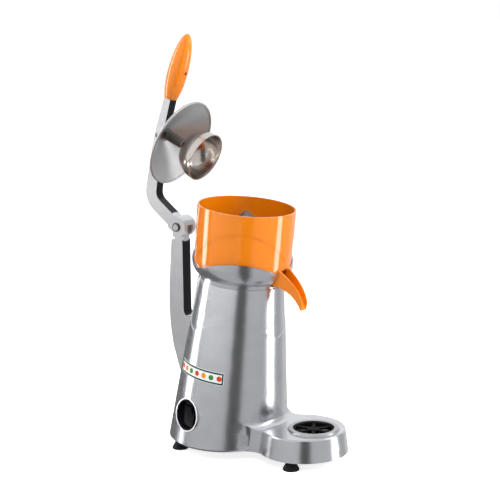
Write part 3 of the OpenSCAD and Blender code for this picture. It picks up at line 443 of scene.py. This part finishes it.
def turned_mesh(name, rings, segments, matrix):
    """A closed turned mesh. Each ring is a function of the angle that gives (radius, height)."""
    bm = bmesh.new()
    loops = []
    for ring in rings:
        loop = []
        for k in range(segments):
            angle = 2 * math.pi * k / segments
            r, z = ring(angle)
            loop.append(bm.verts.new(matrix @ Vector((r * math.cos(angle), r * math.sin(angle), z))))
        loops.append(loop)
    for low, high in zip(loops, loops[1:]):
        for k in range(segments):
            n = (k + 1) % segments
            bm.faces.new((low[k], low[n], high[n], high[k]))
    bm.faces.new(list(reversed(loops[0])))
    bm.faces.new(loops[-1])
    bmesh.ops.recalc_face_normals(bm, faces=bm.faces)
    mesh = bpy.data.meshes.new(name)
    bm.to_mesh(mesh)
    bm.free()
    return mesh


def cut_away(piece, mesh):
    """Cuts a closed mesh out of a piece."""
    cutter = bpy.data.objects.new("cutter", mesh)
    scene.collection.objects.link(cutter)
    boolean = piece.modifiers.new("cut", "BOOLEAN")
    boolean.object = cutter
    boolean.solver = "EXACT"
    shape = piece.evaluated_get(bpy.context.evaluated_depsgraph_get())
    piece.data = bpy.data.meshes.new_from_object(shape)
    piece.modifiers.remove(boolean)
    bpy.data.objects.remove(cutter)


def plain_ring(r, z):
    return lambda angle: (r, z)


def middle(node):
    low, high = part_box(node)
    return (low + high) / 2


def make_handle():
    """Egg-shaped handle with a rounded foot edge and a hole for its screw."""
    axis = Vector((0, -math.sin(HANDLE_LEAN), math.cos(HANDLE_LEAN)))
    origin = middle("handle_stud") - axis * STUD_MIDDLE
    place = Matrix.Translation(origin) @ Matrix.Rotation(HANDLE_LEAN, 4, "X")
    foot_angle = math.acos(HANDLE_FOOT_R / HANDLE_R)
    low_half = HANDLE_WIDE / math.sin(foot_angle)
    high_half = HANDLE_L - HANDLE_WIDE
    rings = [plain_ring(HANDLE_FOOT_R * HANDLE_FOOT_IN, 0.0)]
    for k in range(HANDLE_STEPS):
        a = (math.pi / 2 + foot_angle) * (k + HANDLE_FIRST_STEP) / HANDLE_STEPS - foot_angle
        half = low_half if a < 0 else high_half
        rings.append(plain_ring(HANDLE_R * math.cos(a), HANDLE_WIDE + half * math.sin(a)))
    mesh = turned_mesh("handle", rings, HANDLE_SIDES, place)
    handle = add_piece("handle", mesh, ORANGE, "lever")
    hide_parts("handle_grip")
    across = place @ Matrix.Translation((0, -HANDLE_R, SCREW_UP)) @ Matrix.Rotation(math.pi / 2, 4, "X")
    hole = [plain_ring(SCREW_HOLE_R, -SCREW_HOLE_DEPTH), plain_ring(SCREW_HOLE_R, SCREW_HOLE_DEPTH)]
    cut_away(handle, turned_mesh("screw_hole", hole, HOLE_SIDES, across))


def dome_point(t):
    """(radius, height) on the reamer's dome, from its tip at 0 to its brim at 1."""
    r = REAMER_R * math.sin(math.pi / 2 * t) ** REAMER_POINT
    z = -REAMER_TIP - (REAMER_BRIM - REAMER_TIP) * (1 - math.cos(math.pi / 2 * t))
    return r, z


def ribbed_ring(t):
    """A ring of the dome with rounded ribs that grow towards the brim."""
    r, z = dome_point(t)
    height = RIB_OUT * max(0.0, math.sin(math.pi / 2 * t) - RIB_START) / (1 - RIB_START)

    def ring(angle):
        crest = (0.5 + 0.5 * math.cos(angle * RIB_COUNT)) ** RIB_SHARPNESS
        return r + height * crest, z

    return ring


def make_reamer():
    """Pointed dome with rounded ribs on a skirt."""
    skirt_top = REAMER_SKIRT_T - REAMER_BASE
    rings = [ribbed_ring((k + 0.5) / (REAMER_STEPS + 0.5)) for k in range(REAMER_STEPS + 1)]
    rings.append(plain_ring(REAMER_SKIRT_R - SKIRT_EDGE_IN, skirt_top + SKIRT_EDGE_UP))
    rings.append(plain_ring(REAMER_SKIRT_R, skirt_top - SKIRT_EDGE_DOWN))
    rings.append(plain_ring(REAMER_SKIRT_R, -REAMER_BASE))
    mesh = turned_mesh("reamer_cone", rings, REAMER_SIDES, HEAD)
    reamer = add_piece("reamer_cone", mesh, REAMED, "spindle")
    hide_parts("reamer")


def on_label(along, down, lift):
    """A point on the label: along its middle line, down from its upper edge, and out from its face."""
    r = LABEL_R + math.tan(CONE_FLARE) * down + LABEL_T + lift
    angle = LABEL_TURN + along / LABEL_R
    return HEAD @ Vector((r * math.cos(angle), r * math.sin(angle), -LABEL_TOP - down))


def printed_mesh(name, outlines):
    """Thin raised print: each outline is a closed row of (along, down) points."""
    bm = bmesh.new()
    for outline in outlines:
        low = [bm.verts.new(on_label(u, v, 0.0)) for u, v in outline]
        high = [bm.verts.new(on_label(u, v, PRINT_T)) for u, v in outline]
        bm.faces.new(low)
        bm.faces.new(high)
        for k in range(len(outline)):
            n = (k + 1) % len(outline)
            bm.faces.new((low[k], low[n], high[n], high[k]))
    bmesh.ops.triangulate(bm, faces=[face for face in bm.faces if len(face.verts) > 4])
    bmesh.ops.recalc_face_normals(bm, faces=bm.faces)
    mesh = bpy.data.meshes.new(name)
    bm.to_mesh(mesh)
    bm.free()
    return mesh


def bar(u0, u1, v0, v1, steps):
    """Outlines of a bar on the label, cut into short lengths so that it follows the cone."""
    cuts = [u0 + (u1 - u0) * k / steps for k in range(steps + 1)]
    return [[(a, v0), (b, v0), (b, v1), (a, v1)] for a, b in zip(cuts, cuts[1:])]


def add_print(name, outlines, material):
    piece = add_piece(name, printed_mesh(name, outlines), material, "root")
    piece.data.shade_flat()


def make_label():
    """Printed frame and a row of plain coloured dots."""
    half = LABEL_SPAN / 2 * LABEL_R - FRAME_IN
    low = LABEL_H - FRAME_IN
    edges = bar(-half, half, FRAME_IN, FRAME_IN + FRAME_W, FRAME_STEPS)
    edges += bar(-half, half, low - FRAME_W, low, FRAME_STEPS)
    for u in (-half, half - FRAME_W):
        edges += bar(u, u + FRAME_W, FRAME_IN + FRAME_W, low - FRAME_W, 1)
    add_print("label_frame", edges, PRINT_GREEN)
    inks = [PRINT_RED, PRINT_AMBER, PRINT_LEAF]
    turn = [2 * math.pi * k / DOT_SIDES for k in range(DOT_SIDES)]
    for k in range(-DOTS_EACH_SIDE, DOTS_EACH_SIDE + 1):
        dot = [(k * DOT_PITCH + DOT_R * math.cos(a), LABEL_H / 2 + DOT_R * math.sin(a)) for a in turn]
        add_print(f"label_dot_{k + DOTS_EACH_SIDE + 1}", [dot], inks[k % len(inks)])


make_handle()
make_reamer()
make_label()


# Studio: world, floor, strip lights, cards that shape the reflections, and the camera

TO_CAMERA = Vector((CAMERA_AT.x, CAMERA_AT.y, 0)).normalized()
TO_RIGHT = Vector((CAMERA_RIGHT.x, CAMERA_RIGHT.y, 0)).normalized()
FLOOR_HALF = 45.0
FLOOR_GLOW = 0.72
FLOOR_DARK = (0.87, 0.87, 0.87)
FLOOR_LIGHT = (0.89, 0.89, 0.89)
FLOOR_ROUGH = 0.9
WORLD_LIGHT = 0.34
CARD_RADIUS = 3.0
CARD_LOW = -1.7
CARD_HIGH = 2.6
CARD_HORIZON = 0.25
CARD_STEP = 4
CARD_ROWS = 3
WALL_FADE = (-0.3, 0.0)
SIDE_SIZE = (0.52, 2.1)
SIDE_DISTANCE = 2.2
LEFT_TURN = -103
LEFT_POWER = 32
RIGHT_TURN = 85
RIGHT_POWER = 46
TOP_SIZE = 1.4
TOP_HEIGHT = 2.3
TOP_OUT = 1.2
TOP_AIM = 0.35
TOP_POWER = 45

# Strip cards: angle, lower and upper end, glow below and above a fade, and the heights of that fade
STRIP_CARDS = {
    "strip_left": (LEFT_TURN, -0.5, CARD_HIGH, (0.4, 7.0), (-0.36, -0.12)),
    "strip_right": (RIGHT_TURN, -0.62, 0.12, (7.0, 0.6), (-0.02, 0.10)),
    "strip_right_high": (RIGHT_TURN, 0.36, CARD_HIGH, (0.6, 4.0), (0.38, 0.6)),
}

# Wall cards: first and last angle, upper end, and glow below and above the horizon
WALL_CARDS = {
    "card_front": (-10, 16, CARD_HIGH, (0.10, 0.10)),
    "card_front_left": (-87, -10, CARD_HIGH, (0.54, 1.0)),
    "card_front_right": (16, 78, CARD_HIGH, (0.58, 0.75)),
    "card_right": (78, 130, CARD_HIGH, (0.52, 0.60)),
    "card_back_right": (130, 180, CARD_HORIZON, (0.72, 0.72)),
    "card_left": (-126, -87, CARD_HIGH, (0.19, 0.19)),
    "card_back_left": (-180, -126, CARD_HORIZON, (0.18, 0.18)),
}


def around(angle, radius, height):
    """A point round the object: degrees to the right of the camera's side, seen from the camera."""
    a = math.radians(angle)
    return (TO_CAMERA * math.cos(a) + TO_RIGHT * math.sin(a)) * radius + Vector((0, 0, height))


def seen_directly(tree):
    """1 for camera, glossy and transmission rays, else 0."""
    path = tree.nodes.new("ShaderNodeLightPath")
    value = path.outputs["Is Camera Ray"]
    for name in ("Is Glossy Ray", "Is Transmission Ray"):
        either = tree.nodes.new("ShaderNodeMath")
        either.operation = "MAXIMUM"
        tree.links.new(value, either.inputs[0])
        tree.links.new(path.outputs[name], either.inputs[1])
        value = either.outputs[0]
    return value


def make_world():
    """White where it is seen, softer as a light."""
    world = bpy.data.worlds.new("studio")
    scene.world = world
    world.use_nodes = True
    tree = world.node_tree
    lit = tree.nodes["Background"]
    lit.inputs["Color"].default_value = WHITE
    lit.inputs["Strength"].default_value = WORLD_LIGHT
    seen = tree.nodes.new("ShaderNodeBackground")
    seen.inputs["Color"].default_value = WHITE
    mix = tree.nodes.new("ShaderNodeMixShader")
    tree.links.new(seen_directly(tree), mix.inputs["Fac"])
    tree.links.new(lit.outputs[0], mix.inputs[1])
    tree.links.new(seen.outputs[0], mix.inputs[2])
    tree.links.new(mix.outputs[0], tree.nodes["World Output"].inputs["Surface"])


def stage_mesh(name, verts, faces, material):
    mesh = bpy.data.meshes.new(name)
    mesh.from_pydata(verts, [], faces)
    mesh.materials.append(material)
    obj = bpy.data.objects.new(name, mesh)
    scene.collection.objects.link(obj)
    return obj


def make_floor():
    """Pale floor that keeps the object's shadow."""
    material, tree, shader, add = new_material("floor")
    vector = coords(tree, add, EVEN)
    mottle = noise(tree, add, vector, FLOOR_MOTTLE, SOFT_DETAIL)
    tree.links.new(tint(tree, add, mottle, FLOOR_DARK, FLOOR_LIGHT), shader.inputs["Base Color"])
    set_inputs(shader, Roughness=FLOOR_ROUGH, Emission_Color=WHITE)
    glow = add("ShaderNodeMath")
    glow.operation = "MULTIPLY"
    glow.inputs[1].default_value = FLOOR_GLOW
    tree.links.new(seen_directly(tree), glow.inputs[0])
    tree.links.new(glow.outputs[0], shader.inputs["Emission Strength"])
    half = FLOOR_HALF
    corners = [(-half, -half, 0), (half, -half, 0), (half, half, 0), (-half, half, 0)]
    floor = stage_mesh("floor", corners, [(0, 1, 2, 3)], material)
    floor.visible_glossy = False


def make_side_light(name, angle, power):
    """Tall soft light that faces the object; a card stands for it in reflections."""
    lamp = bpy.data.lights.new(name, "AREA")
    lamp.shape = "RECTANGLE"
    lamp.size, lamp.size_y = SIDE_SIZE
    lamp.energy = power
    obj = bpy.data.objects.new(name, lamp)
    obj.location = around(angle, SIDE_DISTANCE, SIDE_SIZE[1] / 2)
    aim = around(angle, -SIDE_DISTANCE, 0)
    obj.rotation_euler = aim.to_track_quat("-Z", "Y").to_euler()
    obj.visible_glossy = False
    scene.collection.objects.link(obj)


def make_top_light():
    """Broad soft light overhead, on the camera's side."""
    lamp = bpy.data.lights.new("top", "AREA")
    lamp.size = TOP_SIZE
    lamp.energy = TOP_POWER
    obj = bpy.data.objects.new("top", lamp)
    obj.location = around(0, TOP_OUT, TOP_HEIGHT)
    aim = around(0, -TOP_OUT, TOP_AIM - TOP_HEIGHT)
    obj.rotation_euler = aim.to_track_quat("-Z", "Y").to_euler()
    obj.visible_glossy = False
    scene.collection.objects.link(obj)


def card_material(name, glow, fade):
    """Glow that goes from one strength to another between two heights."""
    material = bpy.data.materials.new(name)
    material.use_nodes = True
    tree = material.node_tree
    tree.nodes.clear()
    source = tree.nodes.new("ShaderNodeTexCoord")
    place = tree.nodes.new("ShaderNodeSeparateXYZ")
    tree.links.new(source.outputs["Object"], place.inputs["Vector"])
    change = tree.nodes.new("ShaderNodeMapRange")
    set_inputs(change, From_Min=fade[0], From_Max=fade[1], To_Min=glow[0], To_Max=glow[1])
    tree.links.new(place.outputs["Z"], change.inputs["Value"])
    emission = tree.nodes.new("ShaderNodeEmission")
    tree.links.new(change.outputs["Result"], emission.inputs["Strength"])
    output = tree.nodes.new("ShaderNodeOutputMaterial")
    tree.links.new(emission.outputs[0], output.inputs["Surface"])
    return material


def add_card(name, verts, faces, glow, fade):
    """A card that shows only in reflections."""
    card = stage_mesh(name, verts, faces, card_material(name, glow, fade))
    card.visible_camera = False
    card.visible_diffuse = False
    card.visible_shadow = False
    card.visible_transmission = False


def make_wall_card(name, start, end, top, glow):
    """Curved upright card from one angle to another, with a foot that runs in under the object."""
    steps = max(1, round((end - start) / CARD_STEP))
    verts = []
    for k in range(steps + 1):
        angle = start + (end - start) * k / steps
        verts += [around(angle, 0.0, CARD_LOW), around(angle, CARD_RADIUS, CARD_LOW)]
        verts.append(around(angle, CARD_RADIUS, top))
    faces = []
    for k in range(steps):
        for row in (0, 1):
            a = CARD_ROWS * k + row
            b = a + CARD_ROWS
            faces.append((a, b, b + 1, a + 1))
    add_card(name, verts, faces, glow, WALL_FADE)


def make_strip_card(name, angle, low, high, glow, fade):
    """Narrow bright card that stands for a side light."""
    half = math.degrees(SIDE_SIZE[0] / 2 / SIDE_DISTANCE)
    corners = [(angle - half, low), (angle + half, low), (angle + half, high), (angle - half, high)]
    verts = [around(turn, SIDE_DISTANCE, height) for turn, height in corners]
    add_card(name, verts, [(0, 1, 2, 3)], glow, fade)


make_world()
make_floor()
make_side_light("side_left", LEFT_TURN, LEFT_POWER)
make_side_light("side_right", RIGHT_TURN, RIGHT_POWER)
make_top_light()
for name, card in STRIP_CARDS.items():
    make_strip_card(name, *card)
for name, card in WALL_CARDS.items():
    make_wall_card(name, *card)

camera = bpy.data.objects.new("camera", bpy.data.cameras.new("camera"))
scene.collection.objects.link(camera)
camera.data.sensor_width = SENSOR
camera.data.lens = SENSOR * PHOTO_FOCAL / PHOTO_SIZE
camera.data.clip_end = CAMERA_REACH
camera.location = CAMERA_AT
axes = Matrix((CAMERA_RIGHT, CAMERA_RIGHT.cross(CAMERA_FORWARD), -CAMERA_FORWARD))
camera.rotation_euler = axes.transposed().to_euler()
scene.camera = camera
scene.view_settings.view_transform = "Standard"
